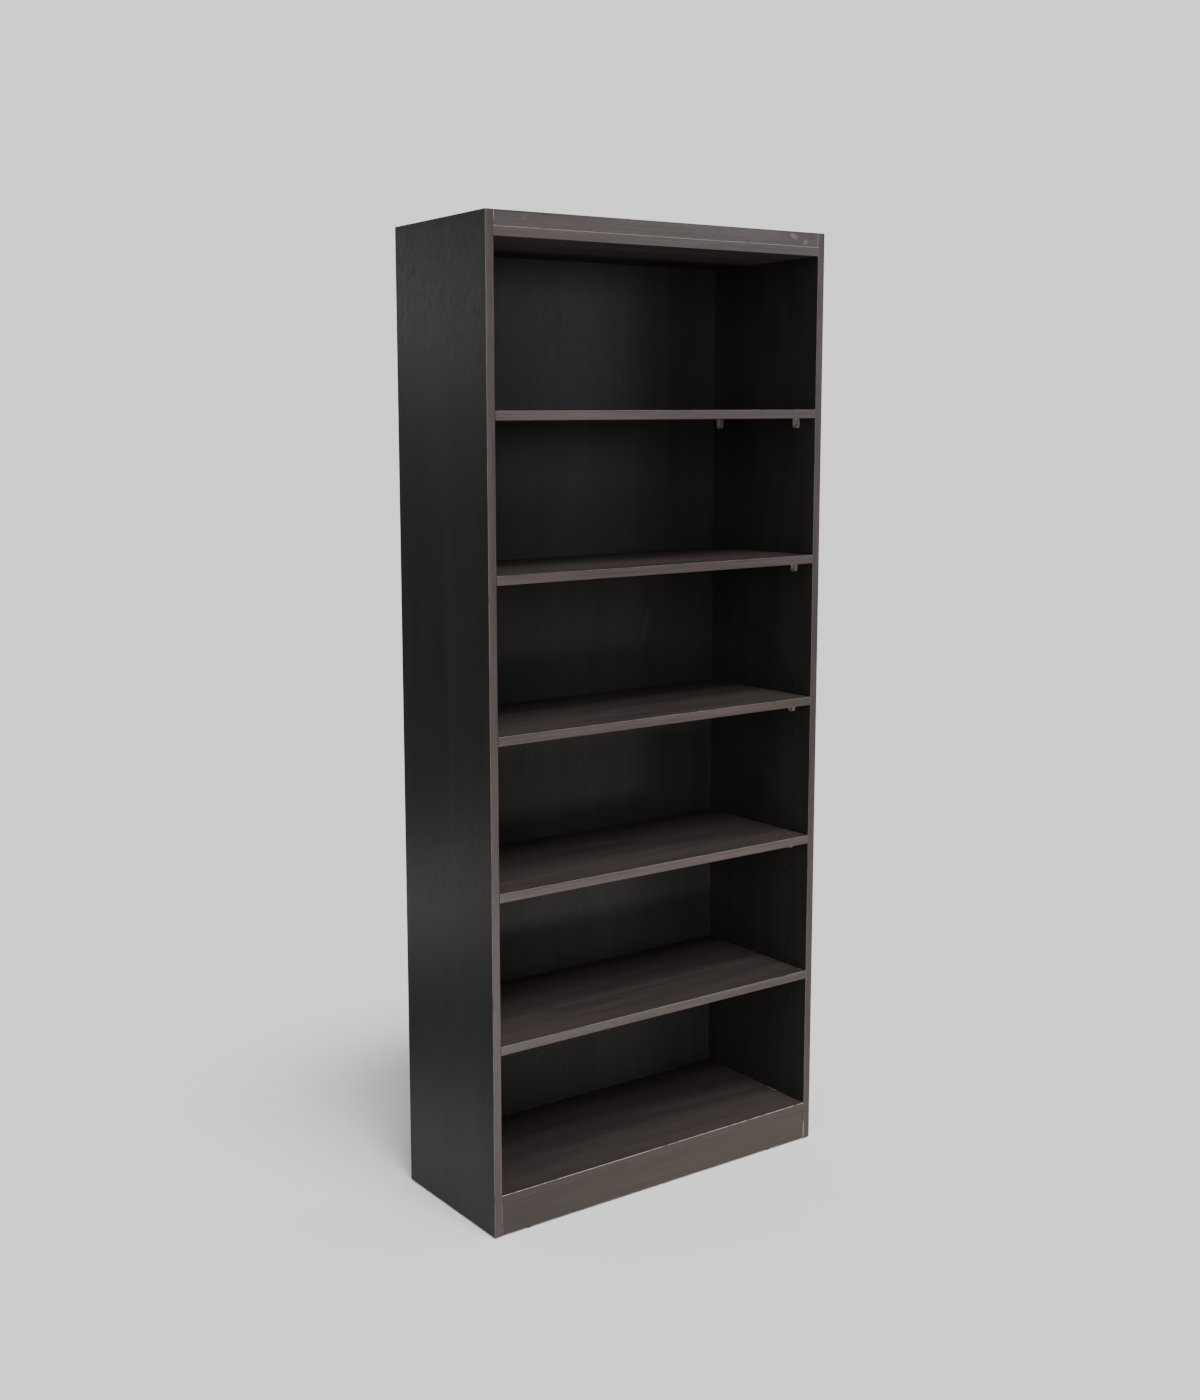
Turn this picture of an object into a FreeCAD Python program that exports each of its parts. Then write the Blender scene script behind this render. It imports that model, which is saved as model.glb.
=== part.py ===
"""Bookcase with adjustable shelves: laminated boards, edge bands, shelf pins and knock-down fittings.

Frame: +Z up, the front faces -Y, +X to the right of someone who faces the front.
The origin is on the floor, under the middle of the outer box. All sizes are in millimetres.
"""
import FreeCAD, Part
import os
import re

import Sketcher

DOC = FreeCAD.newDocument("bookcase")

# Driving sizes: alias, value, what it is.
SIZES = (
    ("overall_width", 914.4, "outer width over the two side panels"),
    ("panel_height", 2130.4, "height of a side panel"),
    ("side_depth", 346.1, "depth of a side panel with its front band"),
    ("standoff", 3.2, "floor to the lower edge of the side panels"),
    ("board", 19.05, "thickness of every laminated board"),
    ("band", 1.0, "thickness of a front edge band"),
    ("arris", 0.6, "rounding of the long front edges"),
    ("header_height", 31.75, "height of the header rail on the top panel"),
    ("header_gap", 1.0, "gap between the header rail and each side"),
    ("base_height", 88.9, "lower edge of the sides to the top of the bottom shelf"),
    ("kick_rise", 2.5, "kick board's lower edge above the sides' lower edge"),
    ("kick_gap_left", 0.2, "gap at the kick board's left end"),
    ("kick_gap_right", 2.0, "gap at the kick board's right end"),
    ("rail_gap", 0.3, "gap at each end of the rear base rail"),
    ("back_board", 3.2, "thickness of the back panel"),
    ("back_inset", 3.0, "back panel's edge inside the outline of the case"),
    ("hole_pitch", 25.4, "height from one shelf pin hole to the next"),
    ("spare_rows", 2, "spare hole rows above and below each shelf's own row"),
    ("pin_front", 58.0, "front column of pin holes, from the front face"),
    ("pin_back", 26.1, "rear column of pin holes, from the sides' rear edge"),
    ("pin_hole_radius", 2.5, "radius of a shelf pin hole"),
    ("pin_hole_depth", 10.5, "depth of a shelf pin hole"),
    ("shelf_side_gap", 0.8, "gap between an adjustable shelf and each side"),
    ("shelf_back_gap", 1.6, "gap between an adjustable shelf and the back panel"),
    ("peg_play", 0.05, "radial play of a peg in its hole"),
    ("peg_length", 9.5, "length of a shelf pin's peg"),
    ("peg_chamfer", 0.6, "chamfer on the peg's end"),
    ("pin_width", 15.0, "width of a shelf pin's cup"),
    ("pin_tall", 21.5, "height of a shelf pin from its ledge to its lower edge"),
    ("ledge_rise", 14.0, "top of the ledge above the peg's axis"),
    ("ledge_reach", 11.5, "reach of the ledge from the side panel"),
    ("ledge_thick", 2.6, "thickness of the ledge"),
    ("ledge_corner", 2.5, "rounding of the ledge's outer corners"),
    ("cup_depth", 7.5, "depth of the cup below the ledge"),
    ("cup_corner", 5.5, "rounding of the cup's lower corners"),
    ("cup_rim", 1.8, "thickness of the rim around the cup"),
    ("cup_floor", 2.2, "thickness of the cup's floor against the side panel"),
    ("boss_radius", 2.6, "radius of the peg's domed boss inside the cup"),
    ("boss_proud", 2.2, "height of the boss above the cup's floor"),
    ("boss_round", 1.6, "rounding of the boss"),
    ("cam_front", 60.0, "front cam fittings, from the front face"),
    ("cam_back", 60.1, "rear cam fittings, from the sides' rear edge"),
    ("cam_inset", 34.0, "cam's axis from the end of its board"),
    ("cam_radius", 7.4, "radius of a cam disc"),
    ("cam_play", 0.1, "radial play of a cam disc in its pocket"),
    ("cam_depth", 12.5, "depth of a cam disc's pocket"),
    ("rail_cam_row", 20.0, "cam fittings of the kick board and base rail, above their lower edge"),
    ("rail_dowel_row", 48.0, "dowels of the kick board and base rail, above their lower edge"),
    ("cross_long", 8.0, "length of the driver cross in a cam disc"),
    ("cross_wide", 1.6, "width of the driver cross"),
    ("cross_deep", 2.4, "depth of the driver cross"),
    ("bore_radius", 3.5, "radius of the bore for a cam bolt's shank"),
    ("shank_radius", 2.9, "radius of a cam bolt's shank"),
    ("thread_radius", 2.45, "radius of a cam bolt's thread in the side panel"),
    ("thread_depth", 11.0, "length of a cam bolt in the side panel"),
    ("thread_play", 0.05, "radial play modelled around the thread"),
    ("dowel_radius", 3.95, "radius of a wooden dowel"),
    ("dowel_play", 0.05, "radial play around a dowel"),
    ("dowel_in_side", 12.0, "length of a dowel in the side panel"),
    ("dowel_in_board", 18.0, "length of a dowel in the cross board"),
    ("end_play", 0.5, "depth of a hole past the end of what it holds"),
    ("nail_radius", 0.8, "radius of a back nail's shank"),
    ("nail_play", 0.05, "radial play modelled around a back nail"),
    ("nail_head_radius", 2.2, "radius of a back nail's head"),
    ("nail_head_thick", 0.8, "thickness of a back nail's head, flush with the back panel"),
    ("nail_length", 16.0, "length of a back nail"),
    ("nail_inset", 60.0, "first back nail from the corner of the back panel"),
    ("side_nails", 14, "back nails into each side panel"),
    ("cross_nails", 6, "back nails into each cross board"),
    ("glide_left", 92.0, "left floor glides, from the left outer face"),
    ("glide_right", 130.0, "right floor glides, from the right outer face"),
    ("glide_radius", 7.5, "radius of a floor glide"),
    ("glide_round", 1.6, "rounding of a glide's lower edge"),
    ("glide_nail_radius", 1.2, "radius of a glide's nail"),
    ("glide_nail_length", 12.0, "length of a glide's nail in the board above it"),
)

SHELF_COUNT = 5
TINY = 1e-4

SHEET = DOC.addObject("Spreadsheet::Sheet", "sizes")
for row, (alias, number, meaning) in enumerate(SIZES, start=1):
    SHEET.set("A%d" % row, meaning)
    SHEET.set("B%d" % row, str(number))
    SHEET.setAlias("B%d" % row, alias)
DOC.recompute()


def formula(text):
    """An expression on the sheet's cells, whose words are aliases, or functions where a ( follows."""
    return re.sub(r"\b[a-z_]+\b(?!\()", lambda word: "sizes." + word.group(0), text)


def value(text):
    """The number that such an expression gives now."""
    return float(SHEET.evalExpression(formula(text)))


def bind(item, prop, text):
    """Tie a property of an object to the sheet."""
    item.setExpression(prop, formula(text))


# Places that several pieces share, as expressions on the sheet.
LEFT = "-overall_width / 2"
RIGHT = "overall_width / 2"
FRONT = "-(side_depth + back_board) / 2"
INNER_LEFT = LEFT + " + board"
INNER_WIDTH = "overall_width - 2 * board"
BOARD_DEPTH = "side_depth - band"
TOP_UNDERSIDE = "panel_height - header_height - board"
BOTTOM_UNDERSIDE = "base_height - board"
RAIL_HEIGHT = "base_height - board - kick_rise"
HEADER_LENGTH = "overall_width - 2 * board - 2 * header_gap"
KICK_LENGTH = "overall_width - 2 * board - kick_gap_left - kick_gap_right"
RAIL_LENGTH = "overall_width - 2 * board - 2 * rail_gap"
BACK_WIDTH = "overall_width - 2 * back_inset"
BACK_HEIGHT = "panel_height - header_height - 2 * back_inset"
SIDE_NAIL_RUN = "panel_height - header_height - 2 * back_inset - 2 * nail_inset"
CROSS_NAIL_RUN = "overall_width - 2 * back_inset - 4 * nail_inset"
NAIL_DEPTH = "nail_length - back_board + end_play"
BAYS_HEIGHT = "panel_height - header_height - board - base_height"
BAY_ROWS = "floor((%s) / (%d * hole_pitch))" % (BAYS_HEIGHT, SHELF_COUNT + 1)
PIN_COLUMNS = {"front": "pin_front", "rear": "side_depth - pin_back"}
CAM_COLUMNS = ("cam_front", "side_depth - cam_back")
DOWEL_COLUMN = "side_depth / 2"


def shelf_underside(number):
    """Underside of an adjustable shelf above the sides' lower edge; shelf 1 is the highest."""
    bays = SHELF_COUNT + 1 - number
    return "base_height - board + %d * %s * hole_pitch" % (bays, BAY_ROWS)


# ---------------------------------------------------------------- bodies, sketches and features

def new_body(label, x, y, z, quarter_turns_x=0, half_turn=False):
    """A body placed by expressions; it may be turned about X by quarters or about Z by half a turn."""
    body = DOC.addObject("PartDesign::Body", label)
    body.Label = label
    if quarter_turns_x:
        turn = FreeCAD.Rotation(FreeCAD.Vector(1, 0, 0), 90 * quarter_turns_x)
        body.Placement = FreeCAD.Placement(FreeCAD.Vector(), turn)
    if half_turn:
        turn = FreeCAD.Rotation(FreeCAD.Vector(0, 0, 1), 180)
        body.Placement = FreeCAD.Placement(FreeCAD.Vector(), turn)
    for axis, text in (("x", x), ("y", y), ("z", z)):
        bind(body, "Placement.Base." + axis, text)
    return body


def origin_item(body, role):
    """One of the body's own origin planes or axes."""
    return next(item for item in body.Origin.OriginFeatures if item.Role == role)


def new_sketch(body, plane, offset=None):
    """A sketch on an origin plane of the body, moved along the plane's normal."""
    sketch = body.newObject("Sketcher::SketchObject", body.Name + "_sketch")
    sketch.AttachmentSupport = [(origin_item(body, plane + "_Plane"), "")]
    sketch.MapMode = "FlatFace"
    if offset is not None:
        bind(sketch, "AttachmentOffset.Base.z", offset)
    return sketch


def tie(sketch, kind, elements, text):
    """Add a dimension to a sketch and bind it to the sheet."""
    index = sketch.addConstraint(Sketcher.Constraint(kind, *elements, value(text)))
    name = "size_%d" % index
    sketch.renameConstraint(index, name)
    bind(sketch, "Constraints." + name, text)


def locate(sketch, element, point, x, y):
    """Hold a point of the sketch at x, y; a leading minus means on the negative side."""
    for kind, text, axis in (("DistanceX", x, -2), ("DistanceY", y, -1)):
        if text == "0":
            sketch.addConstraint(Sketcher.Constraint("PointOnObject", element, point, axis))
        elif text.startswith("-"):
            tie(sketch, kind, (element, point, -1, 1), text[1:])
        else:
            tie(sketch, kind, (-1, 1, element, point), text)


def rectangle(sketch, width, height, left="0", bottom="0"):
    """A rectangle with its lower left corner at left, bottom."""
    x0 = value(left)
    y0 = value(bottom)
    x1 = x0 + value(width)
    y1 = y0 + value(height)
    corners = [FreeCAD.Vector(x, y, 0) for x, y in ((x0, y0), (x1, y0), (x1, y1), (x0, y1))]
    first = sketch.GeometryCount
    for start, end in zip(corners, corners[1:] + corners[:1]):
        sketch.addGeometry(Part.LineSegment(start, end))
    for step in range(4):
        joined = ("Coincident", first + step, 2, first + (step + 1) % 4, 1)
        sketch.addConstraint(Sketcher.Constraint(*joined))
        level = "Vertical" if step % 2 else "Horizontal"
        sketch.addConstraint(Sketcher.Constraint(level, first + step))
    tie(sketch, "DistanceX", (first, 1, first, 2), width)
    tie(sketch, "DistanceY", (first + 1, 1, first + 1, 2), height)
    locate(sketch, first, 1, left, bottom)


def circle(sketch, radius, x, y):
    """A circle with its centre at x, y."""
    centre = FreeCAD.Vector(value(x), value(y), 0)
    index = sketch.addGeometry(Part.Circle(centre, FreeCAD.Vector(0, 0, 1), value(radius)))
    tie(sketch, "Radius", (index,), radius)
    locate(sketch, index, 3, x, y)


def pad(body, sketch, length, backwards=False):
    """Material along the sketch's normal."""
    feature = body.newObject("PartDesign::Pad", body.Name + "_pad")
    feature.Profile = sketch
    bind(feature, "Length", length)
    feature.Reversed = backwards
    return feature


def pocket(body, sketch, depth, backwards=False):
    """A cut against the sketch's normal, or along it when backwards."""
    feature = body.newObject("PartDesign::Pocket", body.Name + "_pocket")
    feature.Profile = sketch
    bind(feature, "Length", depth)
    feature.Reversed = backwards
    return feature


def repeat(body, original, axis, run, count):
    """A row of a feature's copies along one of the body's axes."""
    pattern = body.newObject("PartDesign::LinearPattern", body.Name + "_row")
    pattern.Originals = [original]
    pattern.Direction = (origin_item(body, axis + "_Axis"), [""])
    bind(pattern, "Length", run)
    bind(pattern, "Occurrences", count)
    body.Tip = pattern
    return pattern


def dress(body, kind, prop, size, wanted):
    """A fillet or chamfer on the edges of the tip that the test picks."""
    DOC.recompute()
    base = body.Tip
    names = ["Edge%d" % number for number, edge in enumerate(base.Shape.Edges, start=1) if wanted(edge)]
    if not names:
        raise RuntimeError("no edge to dress on " + body.Label)
    feature = body.newObject("PartDesign::" + kind, body.Name + "_" + kind.lower())
    feature.Base = (base, names)
    bind(feature, prop, size)
    return feature


def edge_is(*tests):
    """A test for straight edges: each entry is an axis and the place on it where the edge lies."""
    def wanted(edge):
        if len(edge.Vertexes) != 2:
            return False
        places = [vertex.Point for vertex in edge.Vertexes]
        return all(abs(getattr(place, axis) - value(text)) < TINY
                   for place in places for axis, text in tests)
    return wanted


def ring_at(x, radius):
    """A test for a full circle about the X axis."""
    def wanted(edge):
        if not isinstance(edge.Curve, Part.Circle) or not edge.isClosed():
            return False
        same_place = abs(edge.Curve.Center.x - value(x)) < TINY
        return same_place and abs(edge.Curve.Radius - value(radius)) < TINY
    return wanted


# ---------------------------------------------------------------- the two sides

def side_panel(label, is_left):
    """A full-height board with pin holes, fitting holes and nail holes.

    Its own X runs through its thickness, Y from the case's front face and Z from its lower edge.
    """
    body = new_body(label, LEFT if is_left else RIGHT + " - board", FRONT, "standoff")
    outline = new_sketch(body, "YZ")
    rectangle(outline, BOARD_DEPTH, "panel_height", left="band")
    pad(body, outline, "board")
    inner_face = "board" if is_left else None
    into_board = not is_left

    pin_holes = new_sketch(body, "YZ", inner_face)
    for number in range(1, SHELF_COUNT + 1):
        lowest = shelf_underside(number) + " - ledge_rise - spare_rows * hole_pitch"
        for column in PIN_COLUMNS.values():
            circle(pin_holes, "pin_hole_radius", column, lowest)
    drilled = pocket(body, pin_holes, "pin_hole_depth", into_board)
    repeat(body, drilled, "Z", "2 * spare_rows * hole_pitch", "2 * spare_rows + 1")

    bolt_holes = new_sketch(body, "YZ", inner_face)
    for y, z in fitting_places("cam"):
        circle(bolt_holes, "thread_radius + thread_play", y, z)
    pocket(body, bolt_holes, "thread_depth + end_play", into_board)

    dowel_holes = new_sketch(body, "YZ", inner_face)
    for y, z in fitting_places("dowel"):
        circle(dowel_holes, "dowel_radius + dowel_play", y, z)
    pocket(body, dowel_holes, "dowel_in_side + end_play", into_board)

    nail_holes = new_sketch(body, "XZ", "-side_depth")
    circle(nail_holes, "nail_radius + nail_play", "board / 2", "back_inset + nail_inset")
    nailed = pocket(body, nail_holes, NAIL_DEPTH, backwards=True)
    repeat(body, nailed, "Z", SIDE_NAIL_RUN, "side_nails")
    return body


def fitting_places(kind):
    """Where the cam bolts or dowels enter a side: from the front face and above the lower edge."""
    top = TOP_UNDERSIDE + " + board / 2"
    bottom = BOTTOM_UNDERSIDE + " + board / 2"
    rear = "side_depth - board / 2"
    if kind == "dowel":
        row = "kick_rise + rail_dowel_row"
        return ((DOWEL_COLUMN, top), (DOWEL_COLUMN, bottom), ("board / 2", row), (rear, row))
    row = "kick_rise + rail_cam_row"
    header = "panel_height - header_height / 2"
    boards = [(column, level) for level in (top, bottom) for column in CAM_COLUMNS]
    return (*boards, ("board / 2", header), ("board / 2", row), (rear, row))


def edge_band(label, x, z, height, upright):
    """A strip on a board's front edge, with its two long front edges rounded."""
    body = new_body(label, x, FRONT, z)
    outline = new_sketch(body, "XY" if upright else "YZ")
    if upright:
        rectangle(outline, "board", "band")
        corners = (edge_is(("y", "0"), ("x", "0")), edge_is(("y", "0"), ("x", "board")))
    else:
        rectangle(outline, "band", "board")
        corners = (edge_is(("y", "0"), ("z", "0")), edge_is(("y", "0"), ("z", "board")))
    pad(body, outline, height)
    dress(body, "Fillet", "Radius", "arris", lambda edge: any(corner(edge) for corner in corners))
    return body


# ---------------------------------------------------------------- boards between the sides

def cross_board(body, length, width, cams=(), dowels=(), cam_on_top=True):
    """A board from side to side with cam pockets on one face and bores in both ends.

    Its own X runs from left to right, Y across its width and Z through its thickness.
    """
    outline = new_sketch(body, "XY")
    rectangle(outline, length, width)
    pad(body, outline, "board")
    cam_pockets = new_sketch(body, "XY", "board" if cam_on_top else None)
    for row in cams:
        circle(cam_pockets, "cam_radius + cam_play", "cam_inset", row)
        circle(cam_pockets, "cam_radius + cam_play", length + " - cam_inset", row)
    pocket(body, cam_pockets, "cam_depth", backwards=not cam_on_top)
    bores = ((cams, "bore_radius", "cam_inset"),
             (dowels, "dowel_radius + dowel_play", "dowel_in_board + end_play"))
    for rows, radius, depth in bores:
        for offset in (None, length):
            if rows:
                ends = new_sketch(body, "YZ", offset)
                for row in rows:
                    circle(ends, radius, row, "board / 2")
                pocket(body, ends, depth, backwards=offset is None)


def rear_edge_nails(body, width):
    """Pilot holes for the back nails in the rear edge of the top panel or the bottom shelf."""
    holes = new_sketch(body, "XZ", "-(" + width + ")")
    circle(holes, "nail_radius + nail_play", "back_inset + 2 * nail_inset - board", "board / 2")
    drilled = pocket(body, holes, NAIL_DEPTH, backwards=True)
    repeat(body, drilled, "X", CROSS_NAIL_RUN, "cross_nails")


def flat_rows():
    """Rows of cams and of dowels across the top panel or the bottom shelf, from behind its band."""
    return ([column + " - band" for column in CAM_COLUMNS], [DOWEL_COLUMN + " - band"])


def flat_board(label, underside, cam_on_top):
    """The top panel or the bottom shelf."""
    body = new_body(label, INNER_LEFT, FRONT + " + band", "standoff + " + underside)
    cross_board(body, INNER_WIDTH, BOARD_DEPTH, *flat_rows(), cam_on_top)
    rear_edge_nails(body, BOARD_DEPTH)
    return body


def header_rail():
    """The rail that stands on the front of the top panel."""
    z = "standoff + panel_height - header_height"
    body = new_body("header_rail", INNER_LEFT + " + header_gap", FRONT + " + board", z, 1)
    cross_board(body, HEADER_LENGTH, "header_height", ("header_height / 2",), (), cam_on_top=False)
    lower = edge_is(("z", "board"), ("y", "0"))
    upper = edge_is(("z", "board"), ("y", "header_height"))
    dress(body, "Fillet", "Radius", "arris", lambda edge: lower(edge) or upper(edge))
    return body


def glide_holes(body, gap_left, gap_right, length):
    """Pilot holes for the glides' nails in a rail's lower edge."""
    holes = new_sketch(body, "XZ")
    left = "glide_left - board - " + gap_left
    right = length + " - glide_right + board + " + gap_right
    for x in (left, right):
        circle(holes, "glide_nail_radius + nail_play", x, "board / 2")
    pocket(body, holes, "glide_nail_length + end_play")


def kick_board():
    """The board under the front edge of the bottom shelf."""
    z = "standoff + kick_rise"
    body = new_body("kick_board", INNER_LEFT + " + kick_gap_left", FRONT + " + board", z, 1)
    cross_board(body, KICK_LENGTH, RAIL_HEIGHT, ("rail_cam_row",), ("rail_dowel_row",), cam_on_top=False)
    glide_holes(body, "kick_gap_left", "kick_gap_right", KICK_LENGTH)
    dress(body, "Fillet", "Radius", "arris", edge_is(("z", "board"), ("y", "0")))
    return body


def base_rail():
    """The rail under the rear edge of the bottom shelf, nailed to the back panel."""
    z = "standoff + kick_rise"
    body = new_body("base_rail_rear", INNER_LEFT + " + rail_gap", FRONT + " + side_depth", z, 1)
    cross_board(body, RAIL_LENGTH, RAIL_HEIGHT, ("rail_cam_row",), ("rail_dowel_row",))
    glide_holes(body, "rail_gap", "rail_gap", RAIL_LENGTH)
    holes = new_sketch(body, "XY")
    first = "back_inset + 2 * nail_inset - board - rail_gap"
    circle(holes, "nail_radius + nail_play", first, "(" + RAIL_HEIGHT + ") / 2")
    drilled = pocket(body, holes, NAIL_DEPTH, backwards=True)
    repeat(body, drilled, "X", CROSS_NAIL_RUN, "cross_nails")
    return body


def adjustable_shelf(number):
    """A loose shelf and the band on its front edge."""
    x = INNER_LEFT + " + shelf_side_gap"
    z = "standoff + " + shelf_underside(number)
    length = INNER_WIDTH + " - 2 * shelf_side_gap"
    body = new_body("shelf_%d" % number, x, FRONT + " + band", z)
    outline = new_sketch(body, "XY")
    rectangle(outline, length, BOARD_DEPTH + " - shelf_back_gap")
    pad(body, outline, "board")
    return (body, edge_band("shelf_band_%d" % number, x, z, length, upright=False))


# ---------------------------------------------------------------- the back

def nail_rows():
    """Heights of the nail rows into the cross boards, above the sides' lower edge."""
    return (TOP_UNDERSIDE + " + board / 2", BOTTOM_UNDERSIDE + " + board / 2",
            "kick_rise + (" + RAIL_HEIGHT + ") / 2")


def back_panel():
    """The thin board behind the case, with a seat and a hole for each nail."""
    body = new_body("back_panel", LEFT + " + back_inset", FRONT + " + side_depth", "standoff + back_inset")
    outline = new_sketch(body, "XZ")
    rectangle(outline, BACK_WIDTH, BACK_HEIGHT)
    pad(body, outline, "back_board", backwards=True)
    steps = (("nail_head_radius + nail_play", "nail_head_thick"), ("nail_radius + nail_play", "back_board"))
    for radius, depth in steps:
        uprights = new_sketch(body, "XZ", "-back_board")
        for x in ("board / 2 - back_inset", BACK_WIDTH + " - board / 2 + back_inset"):
            circle(uprights, radius, x, "nail_inset")
        drilled = pocket(body, uprights, depth, backwards=True)
        repeat(body, drilled, "Z", SIDE_NAIL_RUN, "side_nails")
        crossings = new_sketch(body, "XZ", "-back_board")
        for level in nail_rows():
            circle(crossings, radius, "2 * nail_inset", level + " - back_inset")
        drilled = pocket(body, crossings, depth, backwards=True)
        repeat(body, drilled, "X", CROSS_NAIL_RUN, "cross_nails")
    return body


# ---------------------------------------------------------------- shelf pins and floor glides

def shelf_pin(number, column, is_left):
    """A moulded support: a ledge over a cup with a rounded lower end, and a peg into the side.

    Its own X points away from the side panel, and its origin is the peg's axis on the panel's face.
    """
    label = "pin_%d_%s_%s" % (number, column, "left" if is_left else "right")
    x = INNER_LEFT if is_left else RIGHT + " - board"
    z = "standoff + " + shelf_underside(number) + " - ledge_rise"
    body = new_body(label, x, FRONT + " + " + PIN_COLUMNS[column], z, half_turn=not is_left)

    cup = new_sketch(body, "YZ")
    rectangle(cup, "pin_width", "pin_tall", "-pin_width / 2", "-(pin_tall - ledge_rise)")
    pad(body, cup, "cup_depth")
    sides = ("pin_width / 2", "-pin_width / 2")
    outer = [edge_is(("y", side), ("z", "ledge_rise - pin_tall")) for side in sides]
    dress(body, "Fillet", "Radius", "cup_corner", lambda edge: any(test(edge) for test in outer))

    hollow = new_sketch(body, "YZ", "cup_depth")
    rectangle(hollow, "pin_width - 2 * cup_rim", "pin_tall - cup_rim - ledge_thick",
              "-(pin_width / 2 - cup_rim)", "-(pin_tall - ledge_rise - cup_rim)")
    pocket(body, hollow, "cup_depth - cup_floor")
    inner = [edge_is(("y", side), ("z", "ledge_rise - pin_tall + cup_rim"))
             for side in ("pin_width / 2 - cup_rim", "cup_rim - pin_width / 2")]
    dress(body, "Fillet", "Radius", "cup_corner - cup_rim", lambda edge: any(test(edge) for test in inner))

    ledge = new_sketch(body, "XY", "ledge_rise - ledge_thick")
    rectangle(ledge, "ledge_reach", "pin_width", "0", "-pin_width / 2")
    pad(body, ledge, "ledge_thick")
    tips = [edge_is(("x", "ledge_reach"), ("y", side)) for side in sides]
    dress(body, "Fillet", "Radius", "ledge_corner", lambda edge: any(test(edge) for test in tips))

    boss = new_sketch(body, "YZ")
    circle(boss, "boss_radius", "0", "0")
    pad(body, boss, "cup_floor + boss_proud")
    dress(body, "Fillet", "Radius", "boss_round", ring_at("cup_floor + boss_proud", "boss_radius"))

    peg = new_sketch(body, "YZ")
    circle(peg, "pin_hole_radius - peg_play", "0", "0")
    pad(body, peg, "peg_length", backwards=True)
    dress(body, "Chamfer", "Size", "peg_chamfer", ring_at("-peg_length", "pin_hole_radius - peg_play"))
    return body


def floor_glide(label, x, y):
    """A round pad with a nail, pushed into the lower edge of the kick board or the base rail."""
    body = new_body(label, x, y, "0")
    disc = new_sketch(body, "XY")
    circle(disc, "glide_radius", "0", "0")
    pad(body, disc, "standoff + kick_rise")

    def lower_rim(edge):
        return abs(edge.BoundBox.ZMax) < TINY

    dress(body, "Fillet", "Radius", "glide_round", lower_rim)
    nail = new_sketch(body, "XY", "standoff + kick_rise / 2")
    circle(nail, "glide_nail_radius", "0", "0")
    pad(body, nail, "kick_rise / 2 + glide_nail_length")
    return body


# ---------------------------------------------------------------- groups of identical fittings

def rod(radius, length, start, direction):
    """A round rod from a point along a direction."""
    return Part.makeCylinder(radius, length, start, direction)


def group(label, solids):
    """Separate identical solids as one sub-part."""
    feature = DOC.addObject("Part::Feature", label)
    feature.Label = label
    feature.Shape = Part.makeCompound(solids)
    feature.Placement = FreeCAD.Placement()
    return feature


def cross_joints():
    """Each row of end fittings: body, length, cams' rows, dowels' rows, cam face on top, end gaps."""
    rail_rows = (("rail_cam_row",), ("rail_dowel_row",))
    return (
        ("top_panel", INNER_WIDTH, *flat_rows(), True, ("0", "0")),
        ("bottom_shelf", INNER_WIDTH, *flat_rows(), False, ("0", "0")),
        ("header_rail", HEADER_LENGTH, ("header_height / 2",), (), False, ("header_gap", "header_gap")),
        ("kick_board", KICK_LENGTH, *rail_rows, False, ("kick_gap_left", "kick_gap_right")),
        ("base_rail_rear", RAIL_LENGTH, *rail_rows, True, ("rail_gap", "rail_gap")),
    )


def cam_disc(centre, outward, inward_x):
    """A disc with a slot for the bolt's head on its inner face and a cross on its outer face.

    centre lies on the outer face; outward is +1 or -1 along Z; inward_x points to the board's end.
    """
    axis = FreeCAD.Vector(0, 0, -outward)
    radius = value("cam_radius")
    disc = Part.makeCylinder(radius, value("cam_depth"), centre, axis)
    middle = centre + axis * value("board / 2")
    half = value("bore_radius")
    slot = radius + 2 * half
    low = -half if inward_x > 0 else half - slot
    corner = middle + FreeCAD.Vector(low, -half, -half)
    disc = disc.cut(Part.makeBox(slot, 2 * half, 2 * half, corner))
    deep = value("cross_deep")
    for along, across in (("cross_long", "cross_wide"), ("cross_wide", "cross_long")):
        length = value(along)
        width = value(across)
        corner = centre + FreeCAD.Vector(-length / 2, -width / 2, -deep if outward > 0 else 0.0)
        disc = disc.cut(Part.makeBox(length, width, deep, corner))
    return disc


def end_fittings():
    """Cam discs, cam bolts and dowels of every cross board, in the case's frame."""
    discs = []
    bolts = []
    dowels = []
    half = value("board / 2")
    for label, length, cams, pegs, cam_on_top, gaps in cross_joints():
        placement = DOC.getObject(label).Placement
        face = value("board") if cam_on_top else 0.0
        ends = ((0.0, 1, value(gaps[0])), (value(length), -1, value(gaps[1])))
        for end, inward, gap in ends:
            along = FreeCAD.Vector(inward, 0, 0)
            for row in cams:
                y = value(row)
                centre = FreeCAD.Vector(end + inward * value("cam_inset"), y, face)
                disc = cam_disc(centre, 1 if cam_on_top else -1, -inward)
                start = FreeCAD.Vector(end - inward * (gap + value("thread_depth")), y, half)
                joint = FreeCAD.Vector(end - inward * gap, y, half)
                thread = rod(value("thread_radius"), value("thread_depth"), start, along)
                shank = rod(value("shank_radius"), gap + value("cam_inset"), joint, along)
                discs.append(disc)
                bolts.append(thread.fuse(shank).removeSplitter())
                for shape in (discs[-1], bolts[-1]):
                    shape.Placement = placement.multiply(shape.Placement)
            for row in pegs:
                reach = gap + value("dowel_in_side")
                start = FreeCAD.Vector(end - inward * reach, value(row), half)
                dowel = rod(value("dowel_radius"), reach + value("dowel_in_board"), start, along)
                dowel.Placement = placement.multiply(dowel.Placement)
                dowels.append(dowel)
    return discs, bolts, dowels


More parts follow.
